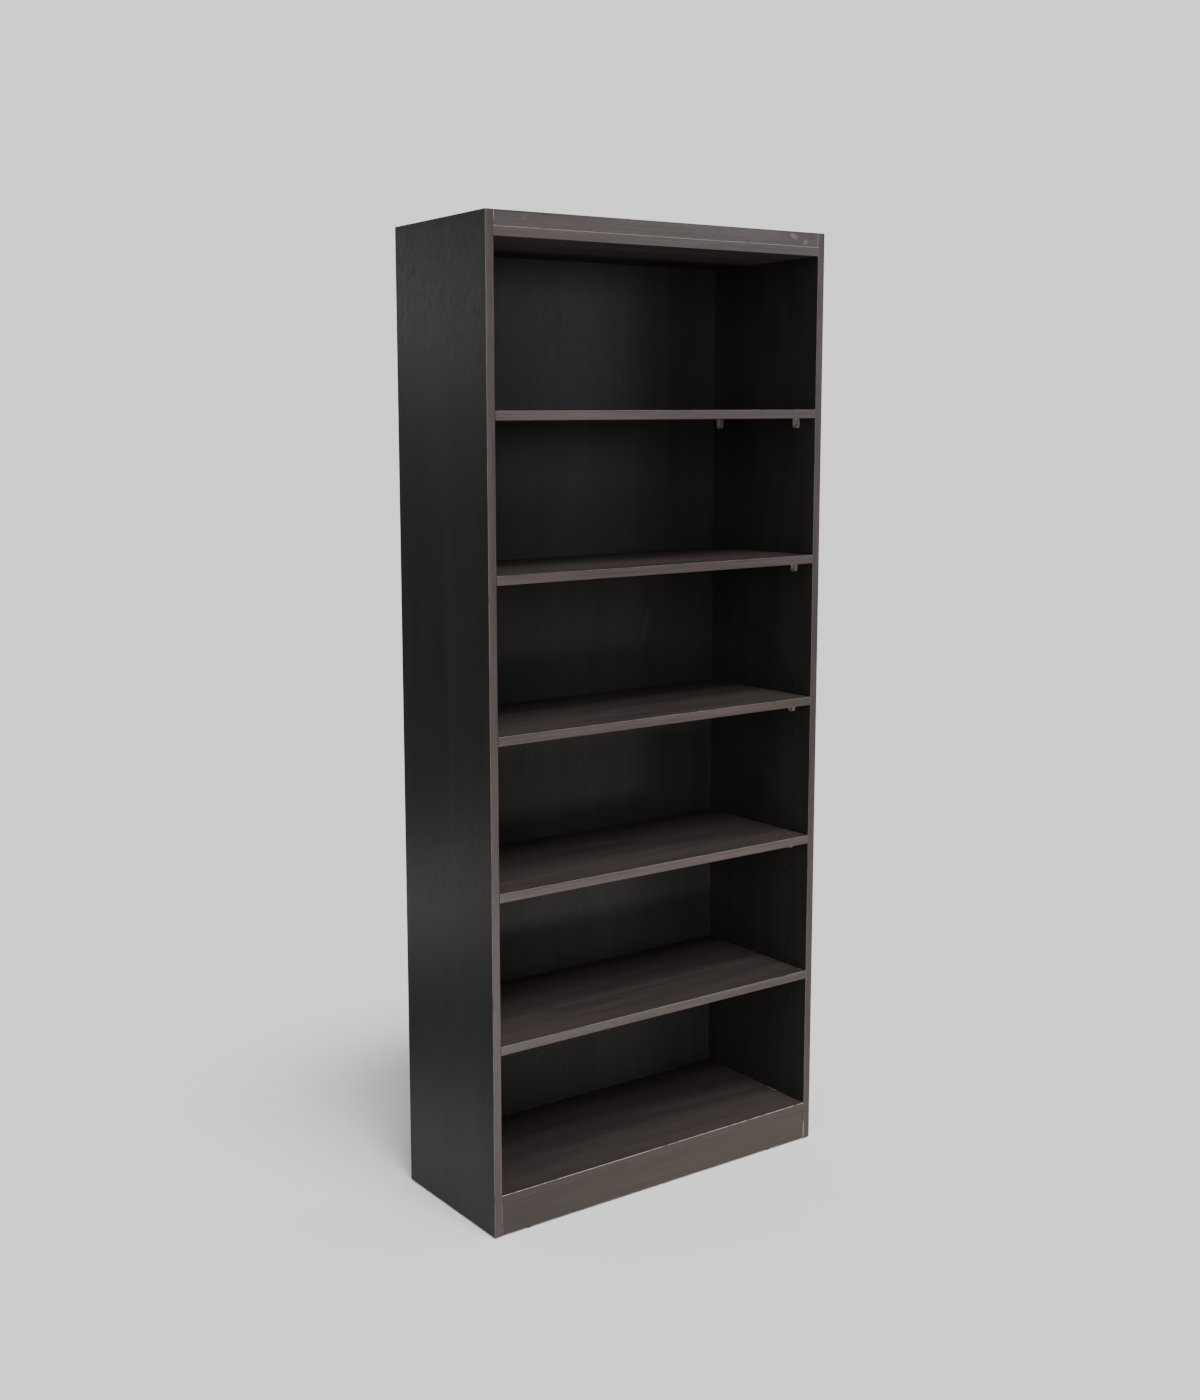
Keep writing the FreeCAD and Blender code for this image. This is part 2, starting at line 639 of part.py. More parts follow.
def nail_places():
    """Where the back nails lie, on the back panel's outer face."""
    rear = value(FRONT) + value("side_depth + back_board")
    floor = value("standoff")
    count = int(value("side_nails"))
    edge = value(RIGHT + " - board / 2")
    first = floor + value("back_inset + nail_inset")
    step = value(SIDE_NAIL_RUN) / (count - 1)
    places = [(side * edge, rear, first + number * step) for side in (-1, 1) for number in range(count)]
    count = int(value("cross_nails"))
    start = value(LEFT + " + back_inset + 2 * nail_inset")
    step = value(CROSS_NAIL_RUN) / (count - 1)
    for level in nail_rows():
        places += [(start + number * step, rear, floor + value(level)) for number in range(count)]
    return places


def back_nail(place):
    """A nail driven forwards, with its head flush with the back panel."""
    start = FreeCAD.Vector(*place)
    forwards = FreeCAD.Vector(0, -1, 0)
    head = rod(value("nail_head_radius"), value("nail_head_thick"), start, forwards)
    shank = rod(value("nail_radius"), value("nail_length"), start, forwards)
    return head.fuse(shank).removeSplitter()


# ---------------------------------------------------------------- the whole case

def build():
    """Every sub-part, in the order in which the case goes together."""
    parts = [side_panel("side_panel_left", True), side_panel("side_panel_right", False)]
    parts.append(edge_band("side_band_left", LEFT, "standoff", "panel_height", upright=True))
    parts.append(edge_band("side_band_right", RIGHT + " - board", "standoff", "panel_height", upright=True))
    for name, underside, cam_on_top in (("top", TOP_UNDERSIDE, True), ("bottom", BOTTOM_UNDERSIDE, False)):
        label = "top_panel" if name == "top" else "bottom_shelf"
        parts.append(flat_board(label, underside, cam_on_top))
        z = "standoff + " + underside
        parts.append(edge_band(name + "_band", INNER_LEFT, z, INNER_WIDTH, upright=False))
    parts += [header_rail(), kick_board(), base_rail(), back_panel()]
    for number in range(1, SHELF_COUNT + 1):
        parts += adjustable_shelf(number)
        parts += [shelf_pin(number, column, is_left)
                  for column in ("front", "rear") for is_left in (True, False)]
    glide_rows = (("front", FRONT + " + board / 2"), ("rear", FRONT + " + side_depth - board / 2"))
    for row, y in glide_rows:
        parts.append(floor_glide("glide_%s_left" % row, LEFT + " + glide_left", y))
        parts.append(floor_glide("glide_%s_right" % row, RIGHT + " - glide_right", y))
    DOC.recompute()
    discs, bolts, dowels = end_fittings()
    parts += [group("cam_discs", discs), group("cam_bolts", bolts), group("dowels", dowels)]
    parts.append(group("back_nails", [back_nail(place) for place in nail_places()]))
    DOC.recompute()
    return parts


def check(parts):
    """Stop if a feature failed, a shape is empty or broken, or a cut removed nothing."""
    for item in DOC.Objects:
        if "Invalid" in item.State or "Error" in item.State:
            raise RuntimeError("failed object: " + item.Label)
        if item.TypeId == "PartDesign::Pocket":
            if item.Shape.Volume > item.BaseFeature.Shape.Volume - TINY:
                raise RuntimeError("a cut removed nothing: " + item.Label)
    for part in parts:
        if part.Shape.isNull() or not part.Shape.isValid():
            raise RuntimeError("bad shape: " + part.Label)
        if part.TypeId == "PartDesign::Body" and len(part.Shape.Solids) != 1:
            raise RuntimeError("not one solid: " + part.Label)


PARTS = build()
check(PARTS)
os.makedirs("parts", exist_ok=True)
for part in PARTS:
    part.Shape.exportStep("parts/%s.step" % part.Label)
print("wrote %d parts" % len(PARTS))
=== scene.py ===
import math

import bpy
import numpy as np
from mathutils import Matrix, Vector


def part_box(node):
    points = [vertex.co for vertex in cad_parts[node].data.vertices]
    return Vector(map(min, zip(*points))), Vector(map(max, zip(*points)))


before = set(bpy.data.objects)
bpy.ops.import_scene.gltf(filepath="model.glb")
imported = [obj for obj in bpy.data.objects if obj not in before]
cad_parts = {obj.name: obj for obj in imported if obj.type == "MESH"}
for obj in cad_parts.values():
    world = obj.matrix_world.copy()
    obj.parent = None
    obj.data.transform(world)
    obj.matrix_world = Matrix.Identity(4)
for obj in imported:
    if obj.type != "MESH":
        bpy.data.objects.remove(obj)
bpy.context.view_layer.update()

# ---------------------------------------------------------------- finishes, as linear colours

ESPRESSO_DARK = (0.0116, 0.0111, 0.0107)
ESPRESSO_LIGHT = (0.0196, 0.0183, 0.0175)
BACK_DARK = (0.0188, 0.0183, 0.0180)
BACK_LIGHT = (0.0290, 0.0280, 0.0274)
BOARD_DARK = (0.0210, 0.0180, 0.0173)
BOARD_LIGHT = (0.0580, 0.0455, 0.0425)
TAUPE_DARK = (0.0270, 0.0192, 0.0184)
TAUPE_LIGHT = (0.0715, 0.0555, 0.0532)
TAUPE_RED = (0.0560, 0.0340, 0.0305)
# Header rail: the taupe band print, made darker as painted shade.
HEADER_PAINTED_SHADE_DARK = (0.0235, 0.0166, 0.0159)
HEADER_PAINTED_SHADE_LIGHT = (0.0620, 0.0478, 0.0458)
# Right side band: the taupe band print, made darker as painted shade.
RIGHT_BAND_PAINTED_SHADE_DARK = (0.0198, 0.0136, 0.0129)
RIGHT_BAND_PAINTED_SHADE_LIGHT = (0.0525, 0.0390, 0.0370)
# Kick board and bottom band: the taupe print made darker and warmer, as painted shade and a painted warm
# reflection from the floor.
PAINTED_WARM_SHADE_DARK = (0.0250, 0.0184, 0.0148)
PAINTED_WARM_SHADE_LIGHT = (0.0440, 0.0336, 0.0266)
WORN_PAPER = (0.4200, 0.3850, 0.3650)
SCUFF_GREY = (0.1900, 0.1750, 0.1650)
RAW_HARDBOARD = (0.2300, 0.1350, 0.0720)
RAW_HARDBOARD_DARK = (0.1350, 0.0740, 0.0380)
RAW_CHIPS = (0.4300, 0.2700, 0.1450)
RAW_CHIPS_DARK = (0.1700, 0.0950, 0.0480)
SMOKE = (0.2200, 0.1950, 0.1800)
ZINC = (0.5200, 0.5150, 0.5000)
PLATED_STEEL = (0.5600, 0.5600, 0.5700)
BEECH = (0.5200, 0.3300, 0.1700)
BEECH_DARK = (0.3400, 0.1950, 0.0900)
GLIDE_BROWN = (0.0300, 0.0220, 0.0190)
FLOOR_WHITE = (0.8200, 0.8180, 0.8100)
FLOOR_FADE = (0.7, 1.35)

MILLIMETRE = 0.001
SKIN = 0.05 * MILLIMETRE
BAND_ARRIS = 0.6 * MILLIMETRE
RAIL_JOINT = 0.8 * MILLIMETRE
RUBBED_ARRIS = 1.0 * MILLIMETRE
BOARD_RIM = 1.4 * MILLIMETRE
FOOT_HEIGHT = 45.0 * MILLIMETRE
FOOT_FADE = 12.0 * MILLIMETRE
PRINT_PRESS = 0.05 * MILLIMETRE
EVEN_SCALE = (1.0, 1.0, 1.0)

# ---------------------------------------------------------------- light

BACKDROP = 1.25
FILL = 0.48
REFLECTED_ROOM = 0.22
WHITE = (1.0, 1.0, 1.0)
COOL_SHEEN = (0.95, 0.98, 1.0)
WARM_SHEEN = (1.0, 0.90, 0.74)

FLOOR_SEGMENTS = 96
FLOOR_CENTRE_RING = 0.4
FLOOR_RIM = 0.1

# ---------------------------------------------------------------- camera, in metres and millimetres

CAMERA_PLACE = (-2.3004, -2.9535, 1.7036)
CAMERA_FORWARD = (0.5395, 0.8303, -0.1398)
CAMERA_RIGHT = (0.8376, -0.5462, -0.0111)
LENS_LENGTH = 42.79
LENS_SHIFT = (0.0900, -0.0243)


# ---------------------------------------------------------------- building materials

class Finish:
    """A material under construction: one Principled surface and the nodes that feed it."""

    def __init__(self, name):
        self.material = bpy.data.materials.new(name)
        self.material.use_nodes = True
        self.tree = self.material.node_tree
        self.tree.nodes.clear()
        self.surface = self.tree.nodes.new("ShaderNodeBsdfPrincipled")
        output = self.tree.nodes.new("ShaderNodeOutputMaterial")
        self.tree.links.new(self.surface.outputs["BSDF"], output.inputs["Surface"])
        self.place = self.tree.nodes.new("ShaderNodeTexCoord").outputs["Object"]

    def give(self, socket, value):
        """Set a socket to a number or a colour, or link it to another node's output."""
        if isinstance(value, bpy.types.NodeSocket):
            self.tree.links.new(value, socket)
        elif isinstance(value, tuple) and socket.type == "RGBA":
            socket.default_value = (*value, 1.0)
        else:
            socket.default_value = value

    def node(self, kind, settings=None, **inputs):
        """Add a node; input names have _ for a space."""
        made = self.tree.nodes.new("ShaderNode" + kind)
        for key, value in (settings or {}).items():
            setattr(made, key, value)
        for key, value in inputs.items():
            self.give(made.inputs[key.replace("_", " ")], value)
        return made

    def set(self, **inputs):
        """Set sockets of the surface."""
        for key, value in inputs.items():
            self.give(self.surface.inputs[key.replace("_", " ")], value)

    def maths(self, operation, first, second=0.0, clamp=False):
        """An operation on two values, such as ADD or MULTIPLY."""
        made = self.node("Math", {"operation": operation, "use_clamp": clamp})
        self.give(made.inputs[0], first)
        self.give(made.inputs[1], second)
        return made.outputs["Value"]

    def stretched(self, scale, shift=(0.0, 0.0, 0.0)):
        """The place on the object, stretched for a pattern."""
        mapped = self.node("Mapping", Vector=self.place, Scale=scale, Location=shift)
        return mapped.outputs["Vector"]

    def noise(self, scale, detail=4.0, roughness=0.55, distortion=0.0, shift=(0.0, 0.0, 0.0)):
        """A noise of one unit, stretched by a scale along each axis."""
        made = self.node("TexNoise", Vector=self.stretched(scale, shift), Scale=1.0, Detail=detail,
                         Roughness=roughness, Distortion=distortion)
        return made.outputs["Fac"]

    def ramp(self, value, low, high):
        """0 below low, 1 above high, smooth between."""
        made = self.node("MapRange", {"interpolation_type": "SMOOTHSTEP"}, Value=value)
        made.inputs["From Min"].default_value = low
        made.inputs["From Max"].default_value = high
        return made.outputs["Result"]

    def mix(self, factor, first, second):
        """A colour between two."""
        made = self.node("Mix", {"data_type": "RGBA"})
        self.give(made.inputs[0], factor)
        self.give(made.inputs[6], first)
        self.give(made.inputs[7], second)
        return made.outputs[2]

    def axis(self, name):
        """One coordinate of the place on the object."""
        split = self.node("SeparateXYZ", Vector=self.place)
        return split.outputs[name]

    def past(self, name, where, soft=0.2 * MILLIMETRE):
        """1 where a coordinate is greater than a place, 0 below it."""
        return self.ramp(self.axis(name), where - soft, where + soft)

    def near(self, name, where, width):
        """1 within a width of a place on an axis, fading to 0."""
        away = self.maths("ABSOLUTE", self.maths("SUBTRACT", self.axis(name), where))
        return self.maths("SUBTRACT", 1.0, self.ramp(away, 0.5 * width, width))

    def spot(self, centre, size, tilt=0.0):
        """A soft ellipsoid of influence, turned about Y by a tilt in degrees."""
        turned = self.node("Mapping", {"vector_type": "TEXTURE"}, Vector=self.place, Location=centre,
                           Rotation=(0.0, math.radians(tilt), 0.0), Scale=size)
        ball = self.node("TexGradient", {"gradient_type": "SPHERICAL"}, Vector=turned.outputs["Vector"])
        return ball.outputs["Fac"]

    def bump(self, height, distance, strength=1.0, under=None):
        """A normal from a height; under is a normal that it adds to."""
        made = self.node("Bump", Height=height, Distance=distance, Strength=strength)
        if under is not None:
            self.give(made.inputs["Normal"], under)
        return made.outputs["Normal"]


def along(grain, length, across):
    """Pattern scale for a grain direction: few repeats along it, many across it."""
    return tuple(length if name == grain else across for name in "XYZ")


def wood_print(finish, grain, dark, light, gloss):
    """A printed wood pattern: broad figure, fine streaks and short pressed pores along the grain."""
    figure = finish.noise(along(grain, 1.1, 13.0), detail=3.0, distortion=0.7)
    streaks = finish.noise(along(grain, 5.0, 330.0), detail=6.0, roughness=0.7)
    pores = finish.noise(along(grain, 42.0, 1500.0), detail=2.0, roughness=0.5)
    tone = finish.maths("MULTIPLY", finish.ramp(figure, 0.3, 0.72), 0.55)
    tone = finish.maths("ADD", tone, finish.maths("MULTIPLY", finish.ramp(streaks, 0.34, 0.68), 0.45))
    open_pores = finish.ramp(pores, 0.57, 0.66)
    colour = finish.mix(tone, dark, light)
    colour = finish.mix(finish.maths("MULTIPLY", open_pores, 0.55), colour, dark)
    hazy = finish.noise(EVEN_SCALE, detail=5.0, roughness=0.6)
    rough = finish.maths("ADD", gloss, finish.maths("MULTIPLY", hazy, 0.10))
    rough = finish.maths("ADD", rough, finish.maths("MULTIPLY", open_pores, 0.14))
    pressed = finish.maths("SUBTRACT", finish.maths("MULTIPLY", streaks, 0.4), open_pores)
    normal = finish.bump(pressed, PRINT_PRESS, 0.6)
    return colour, rough, normal


def dusted(finish, colour):
    """A few pale specks of dust, under a millimetre across."""
    motes = finish.node("TexVoronoi", Vector=finish.place, Scale=28.0)
    speck = finish.maths("SUBTRACT", 1.0, finish.ramp(motes.outputs["Distance"], 0.012, 0.026))
    return finish.mix(finish.maths("MULTIPLY", speck, 0.7), colour, WORN_PAPER)


def settle(finish, colour, rough, normal, specular=0.10):
    """Feed the surface and hand the material over."""
    finish.set(Base_Color=colour, Roughness=rough, Normal=normal)
    finish.set(Specular_IOR_Level=specular)
    return finish.material


def chip_face(finish):
    """Raw particle board: pressed chips of many tones."""
    chips = finish.node("TexVoronoi", Vector=finish.stretched((420.0, 420.0, 900.0)), Scale=1.0)
    tone = finish.noise((260.0, 260.0, 520.0), detail=3.0)
    shade = finish.maths("ADD", finish.maths("MULTIPLY", chips.outputs["Distance"], 0.6), tone)
    return finish.mix(finish.ramp(shade, 0.45, 1.05), RAW_CHIPS, RAW_CHIPS_DARK)


# ---------------------------------------------------------------- the finishes of this bookcase

def upright_laminate():
    """Side panels: espresso print with upright grain; the lower and rear edges are raw board."""
    finish = Finish("espresso_upright")
    colour, rough, normal = wood_print(finish, "Z", ESPRESSO_DARK, ESPRESSO_LIGHT, 0.33)
    low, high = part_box("side_panel_left")
    below = finish.maths("SUBTRACT", 1.0, finish.past("Z", low[2] + SKIN, 0.4 * SKIN))
    behind = finish.past("Y", high[1] - SKIN, 0.4 * SKIN)
    raw = finish.maths("MAXIMUM", below, behind)
    colour = finish.mix(raw, colour, chip_face(finish))
    rough = finish.maths("ADD", rough, finish.maths("MULTIPLY", raw, 0.4))
    return settle(finish, colour, rough, normal)


def crosswise_laminate():
    """Shelves, top, bottom board and rear rail: crosswise print, with pale flecks near its ends and rear."""
    finish = Finish("espresso_crosswise")
    colour, rough, normal = wood_print(finish, "X", BOARD_DARK, BOARD_LIGHT, 0.34)
    low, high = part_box("shelf_3")
    for axis, where in (("X", low[0]), ("X", high[0]), ("Y", high[1])):
        rim = finish.near(axis, where, BOARD_RIM)
        colour = wear_and_highlight(finish, colour, rim, 0.55, (60.0, 60.0, 60.0), 0.54, 0.64)
    return settle(finish, dusted(finish, colour), rough, normal)


def back_board():
    """Back panel: dark printed paper inside, raw brown hardboard behind."""
    finish = Finish("back_board")
    colour, rough, normal = wood_print(finish, "Z", BACK_DARK, BACK_LIGHT, 0.36)
    low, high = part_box("back_panel")
    shelf_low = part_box("shelf_3")[0]
    smear_place = (0.232, low[1], shelf_low[2] + 0.175)
    smear = finish.spot(smear_place, (0.016, 0.02, 0.060), tilt=14.0)
    hollow = finish.spot((smear_place[0] + 0.010, low[1], smear_place[2]), (0.016, 0.02, 0.052), tilt=14.0)
    arc = finish.maths("SUBTRACT", smear, finish.maths("MULTIPLY", hollow, 1.6), clamp=True)
    colour = finish.mix(finish.maths("MULTIPLY", arc, 0.12), dusted(finish, colour), SCUFF_GREY)
    fibres = finish.noise((620.0, 620.0, 620.0), detail=5.0, roughness=0.75)
    blotches = finish.noise((9.0, 9.0, 9.0), detail=3.0)
    raw_tone = finish.maths("MULTIPLY", fibres, 0.85)
    raw_tone = finish.maths("ADD", raw_tone, finish.maths("MULTIPLY", blotches, 0.15))
    raw = finish.mix(finish.ramp(raw_tone, 0.25, 0.75), RAW_HARDBOARD_DARK, RAW_HARDBOARD)
    behind = finish.past("Y", low[1] + 0.5 * MILLIMETRE)
    colour = finish.mix(behind, colour, raw)
    rough = finish.maths("ADD", rough, finish.maths("MULTIPLY", behind, 0.35))
    normal = finish.bump(finish.maths("MULTIPLY", fibres, behind), 0.12 * MILLIMETRE, 0.7, normal)
    return settle(finish, colour, rough, normal, 0.12)


def wear_and_highlight(finish, colour, mask, cover, scale, low=0.30, high=0.55):
    """Lighter paper along an edge, broken up by a noise: worn paper, and on the left side band's outer arris
    also a painted highlight.
    """
    breaks = finish.ramp(finish.noise(scale, detail=3.0, roughness=0.7), low, high)
    amount = finish.maths("MULTIPLY", finish.maths("MULTIPLY", mask, breaks), cover)
    return finish.mix(amount, colour, WORN_PAPER)


def mottled(finish, grain, colour):
    """Short reddish patches in the taupe print."""
    patches = finish.ramp(finish.noise(along(grain, 22.0, 95.0), detail=3.0, roughness=0.6), 0.50, 0.68)
    return finish.mix(finish.maths("MULTIPLY", patches, 0.45), colour, TAUPE_RED)


def edge_band(node, grain, edges, tones=(TAUPE_DARK, TAUPE_LIGHT), rubbed_foot=False):
    """The front band of one board; edges are (axis, side, cover) of its pale arris lines.

    A rubbed foot has a strongly worn inner arris near the floor.
    """
    finish = Finish("taupe_" + node)
    colour, rough, normal = wood_print(finish, grain, *tones, 0.40)
    colour = mottled(finish, grain, colour)
    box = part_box(node)
    for axis, side, cover in edges:
        where = box[side]["XYZ".index(axis)]
        mask = finish.near(axis, where, BAND_ARRIS)
        colour = wear_and_highlight(finish, colour, mask, cover, along(grain, 18.0, 40.0))
    if rubbed_foot:
        foot = finish.maths("SUBTRACT", 1.0, finish.past("Z", FOOT_HEIGHT, FOOT_FADE))
        mask = finish.maths("MULTIPLY", finish.near("X", box[0][0], RUBBED_ARRIS), foot)
        colour = wear_and_highlight(finish, colour, mask, 0.9, (25.0, 25.0, 25.0), 0.2, 0.4)
    return settle(finish, colour, rough, normal, 0.3)


def rail_face(node, edges, scuffs, tones):
    """The header rail or the kick board: taupe print with worn joints and a few scuffs.

    A scuff is (distance from the left, distance from the top, half length, half height, tilt).
    """
    finish = Finish("taupe_" + node)
    colour, rough, normal = wood_print(finish, "X", *tones, 0.38)
    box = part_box(node)
    for axis, side, cover in edges:
        mask = finish.near(axis, box[side]["XYZ".index(axis)], RAIL_JOINT)
        colour = wear_and_highlight(finish, colour, mask, cover, (30.0, 30.0, 60.0), 0.30, 0.45)
    for from_left, from_top, long, wide, tilt in scuffs:
        centre = (box[0][0] + from_left, box[0][1], box[1][2] - from_top)
        mark = finish.ramp(finish.spot(centre, (long, 0.01, wide), tilt), 0.05, 0.6)
        speckle = finish.ramp(finish.noise((700.0, 700.0, 700.0), detail=2.0), 0.42, 0.58)
        mark = finish.maths("MULTIPLY", mark, speckle)
        colour = finish.mix(finish.maths("MULTIPLY", mark, 0.30), colour, WORN_PAPER)
    return settle(finish, colour, rough, normal, 0.3)


def smoke_plastic():
    """Shelf pins: glossy smoke-brown plastic that lets a little light through."""
    finish = Finish("smoke_plastic")
    flow = finish.noise((140.0, 140.0, 60.0), detail=3.0)
    colour = finish.mix(finish.ramp(flow, 0.3, 0.7), SMOKE, tuple(0.78 * part for part in SMOKE))
    grit = finish.noise((1800.0, 1800.0, 1800.0), detail=2.0)
    rough = finish.maths("ADD", 0.10, finish.maths("MULTIPLY", grit, 0.10))
    finish.set(Subsurface_Weight=0.25, Subsurface_Scale=0.004, Coat_Weight=1.0, Coat_Roughness=0.05)
    return settle(finish, colour, rough, finish.bump(flow, 0.08 * MILLIMETRE, 0.5), 0.5)


def cast_zinc():
    """Cam discs: die-cast metal with a fine grain."""
    finish = Finish("cast_zinc")
    grain = finish.noise((2400.0, 2400.0, 2400.0), detail=3.0)
    colour = finish.mix(grain, ZINC, tuple(0.7 * part for part in ZINC))
    finish.set(Metallic=1.0)
    rough = finish.maths("ADD", 0.32, finish.maths("MULTIPLY", grain, 0.2))
    return settle(finish, colour, rough, finish.bump(grain, 0.03 * MILLIMETRE, 0.6), 0.5)


def plated_steel():
    """Cam bolts and back nails: bright plating with fine rolled lines."""
    finish = Finish("plated_steel")
    lines = finish.noise((90.0, 2600.0, 2600.0), detail=3.0)
    colour = finish.mix(lines, PLATED_STEEL, tuple(0.75 * part for part in PLATED_STEEL))
    finish.set(Metallic=1.0)
    rough = finish.maths("ADD", 0.24, finish.maths("MULTIPLY", lines, 0.2))
    return settle(finish, colour, rough, finish.bump(lines, 0.02 * MILLIMETRE, 0.5), 0.5)


def beech():
    """Dowels: plain beech with short dark flecks along the rod."""
    finish = Finish("beech")
    streaks = finish.noise((60.0, 900.0, 900.0), detail=5.0, roughness=0.7)
    flecks = finish.ramp(finish.noise((220.0, 1700.0, 1700.0), detail=1.0), 0.6, 0.68)
    colour = finish.mix(finish.ramp(streaks, 0.35, 0.65), BEECH, BEECH_DARK)
    colour = finish.mix(finish.maths("MULTIPLY", flecks, 0.6), colour, BEECH_DARK)
    return settle(finish, colour, finish.maths("ADD", 0.55, finish.maths("MULTIPLY", streaks, 0.2)),
                  finish.bump(streaks, 0.05 * MILLIMETRE, 0.6), 0.3)


def brown_plastic():
    """Floor glides: matt moulded plastic, rubbed lighter where it stands on the floor."""
    finish = Finish("brown_plastic")
    grit = finish.noise((1300.0, 1300.0, 1300.0), detail=3.0)
    rubbed = finish.maths("SUBTRACT", 1.0, finish.past("Z", 1.2 * MILLIMETRE, 0.8 * MILLIMETRE))
    colour = finish.mix(grit, GLIDE_BROWN, tuple(0.6 * part for part in GLIDE_BROWN))
    colour = finish.mix(finish.maths("MULTIPLY", rubbed, 0.35), colour, SCUFF_GREY)
    rough = finish.maths("ADD", 0.42, finish.maths("MULTIPLY", grit, 0.2))
    return settle(finish, colour, rough, finish.bump(grit, 0.05 * MILLIMETRE, 0.5), 0.4)


def paint(node, material):
    """Give a CAD node a finish."""
    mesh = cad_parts[node].data
    mesh.materials.clear()
    mesh.materials.append(material)


def finish_case():
    """Every node of the bookcase gets a finish; the header, kick, bottom band and right band have tones with
    painted shade.
    """
    upright = upright_laminate()
    crosswise = crosswise_laminate()
    steel = plated_steel()
    fixed = {"side_panel_left": upright, "side_panel_right": upright, "back_panel": back_board(),
             "top_panel": crosswise, "bottom_shelf": crosswise, "base_rail_rear": crosswise,
             "cam_discs": cast_zinc(), "cam_bolts": steel, "back_nails": steel, "dowels": beech()}
    for node, material in fixed.items():
        paint(node, material)
    header_scuffs = ((0.075, 0.010, 0.014, 0.0011, -52.0), (0.800, 0.010, 0.016, 0.0070, 20.0),
                     (0.836, 0.022, 0.008, 0.0060, -30.0))
    header_edges = (("X", 0, 0.7), ("X", 1, 0.7), ("Z", 0, 0.8))
    # The header's tones are the taupe print with painted shade.
    paint("header_rail", rail_face("header_rail", header_edges, header_scuffs, (HEADER_PAINTED_SHADE_DARK, HEADER_PAINTED_SHADE_LIGHT)))
    # The kick's tones carry painted shade and a painted warm floor reflection.
    paint("kick_board", rail_face("kick_board", (("X", 0, 0.3),), (), (PAINTED_WARM_SHADE_DARK, PAINTED_WARM_SHADE_LIGHT)))
    paint("top_band", edge_band("top_band", "X", (("Z", 1, 0.35),)))
    # The bottom band shares those tones, with painted shade and a painted warm floor reflection.
    paint("bottom_band", edge_band("bottom_band", "X", (("Z", 1, 1.0),), (PAINTED_WARM_SHADE_DARK, PAINTED_WARM_SHADE_LIGHT)))
    # The pale line on the left band's outer arris is worn paper and a painted highlight.
    paint("side_band_left", edge_band("side_band_left", "Z", (("X", 0, 0.25),)))
    # The right band's tones are the taupe print with painted shade.
    right_painted_shade_tones = (RIGHT_BAND_PAINTED_SHADE_DARK, RIGHT_BAND_PAINTED_SHADE_LIGHT)
    paint("side_band_right", edge_band("side_band_right", "Z", (("X", 0, 0.15),), right_painted_shade_tones, True))
    pins = smoke_plastic()
    glides = brown_plastic()
    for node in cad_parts:
        if node.startswith("shelf_band_"):
            paint(node, edge_band(node, "X", (("Z", 1, 0.3), ("Z", 0, 0.12))))
        elif node.startswith("shelf_"):
            paint(node, crosswise)
        elif node.startswith("pin_"):
            paint(node, pins)
        elif node.startswith("glide_"):
            paint(node, glides)


# ---------------------------------------------------------------- floor, light and camera

def floor():
    """A pale round floor: rings of points, each ring a circle of growing radius, at z = 0."""
    rings = np.array([FLOOR_CENTRE_RING, FLOOR_FADE[0], FLOOR_FADE[1], FLOOR_FADE[1] + FLOOR_RIM])
    turns = np.linspace(0.0, 2.0 * np.pi, FLOOR_SEGMENTS, endpoint=False)
    across = rings[:, None] * np.cos(turns)
    deep = rings[:, None] * np.sin(turns)
    points = np.stack((across, deep, np.zeros_like(across)), axis=-1).reshape(-1, 3)
    points = np.vstack((points, np.zeros((1, 3))))
    count = turns.size
    index = np.arange(count)
    ahead = np.roll(index, -1)
    faces = [np.stack((index, ahead, np.full(count, points.shape[0] - 1)), axis=-1).tolist()]
    for ring in range(rings.size - 1):
        inner = ring * count
        outer = inner + count
        strip = (inner + index, outer + index, outer + ahead, inner + ahead)
        faces.append(np.stack(strip, axis=-1).tolist())
    mesh = bpy.data.meshes.new("floor")
    mesh.from_pydata(points.tolist(), [], [face for group in faces for face in group])
    piece = bpy.data.objects.new("floor", mesh)
    bpy.context.scene.collection.objects.link(piece)
    mesh.materials.append(pale_floor())


def pale_floor():
    """The floor's paper, which thins out to nothing towards its rim."""
    finish = Finish("pale_floor")
    grain = finish.noise((9.0, 9.0, 9.0), detail=4.0)
    colour = finish.mix(grain, FLOOR_WHITE, tuple(0.985 * part for part in FLOOR_WHITE))
    distance = finish.node("VectorMath", {"operation": "LENGTH"})
    finish.give(distance.inputs[0], finish.place)
    kept = finish.maths("SUBTRACT", 1.0, finish.ramp(distance.outputs["Value"], *FLOOR_FADE))
    finish.set(Alpha=kept)
    return settle(finish, colour, 0.8, finish.bump(grain, 0.1 * MILLIMETRE, 0.2), 0.1)


def aim(name, lamp, place, target):
    """A lamp at a place, turned to a target."""
    holder = bpy.data.objects.new(name, lamp)
    holder.location = place
    holder.rotation_euler = (Vector(target) - Vector(place)).to_track_quat("-Z", "Y").to_euler()
    bpy.context.scene.collection.objects.link(holder)
    return holder


def wide_light(name, place, strength, spread, colour):
    """Even soft light from one side, as from a very large window."""
    lamp = bpy.data.lights.new(name, "SUN")
    lamp.energy = strength
    lamp.angle = math.radians(spread)
    lamp.color = colour
    aim(name, lamp, place, (0.0, 0.0, 1.0))


def low_lamp(name, place, target, size, power, colour):
    """A rectangular soft box that the camera doesn't see."""
    lamp = bpy.data.lights.new(name, "AREA")
    lamp.shape = "RECTANGLE"
    lamp.size, lamp.size_y = size
    lamp.energy = power
    lamp.color = colour
    holder = aim(name, lamp, place, target)
    holder.visible_camera = False
    return holder


def sheen_card(name, place, target, size, power, colour):
    """A card that shows only as a soft reflection in the glossy faces."""
    holder = low_lamp(name, place, target, size, power, colour)
    holder.visible_diffuse = False


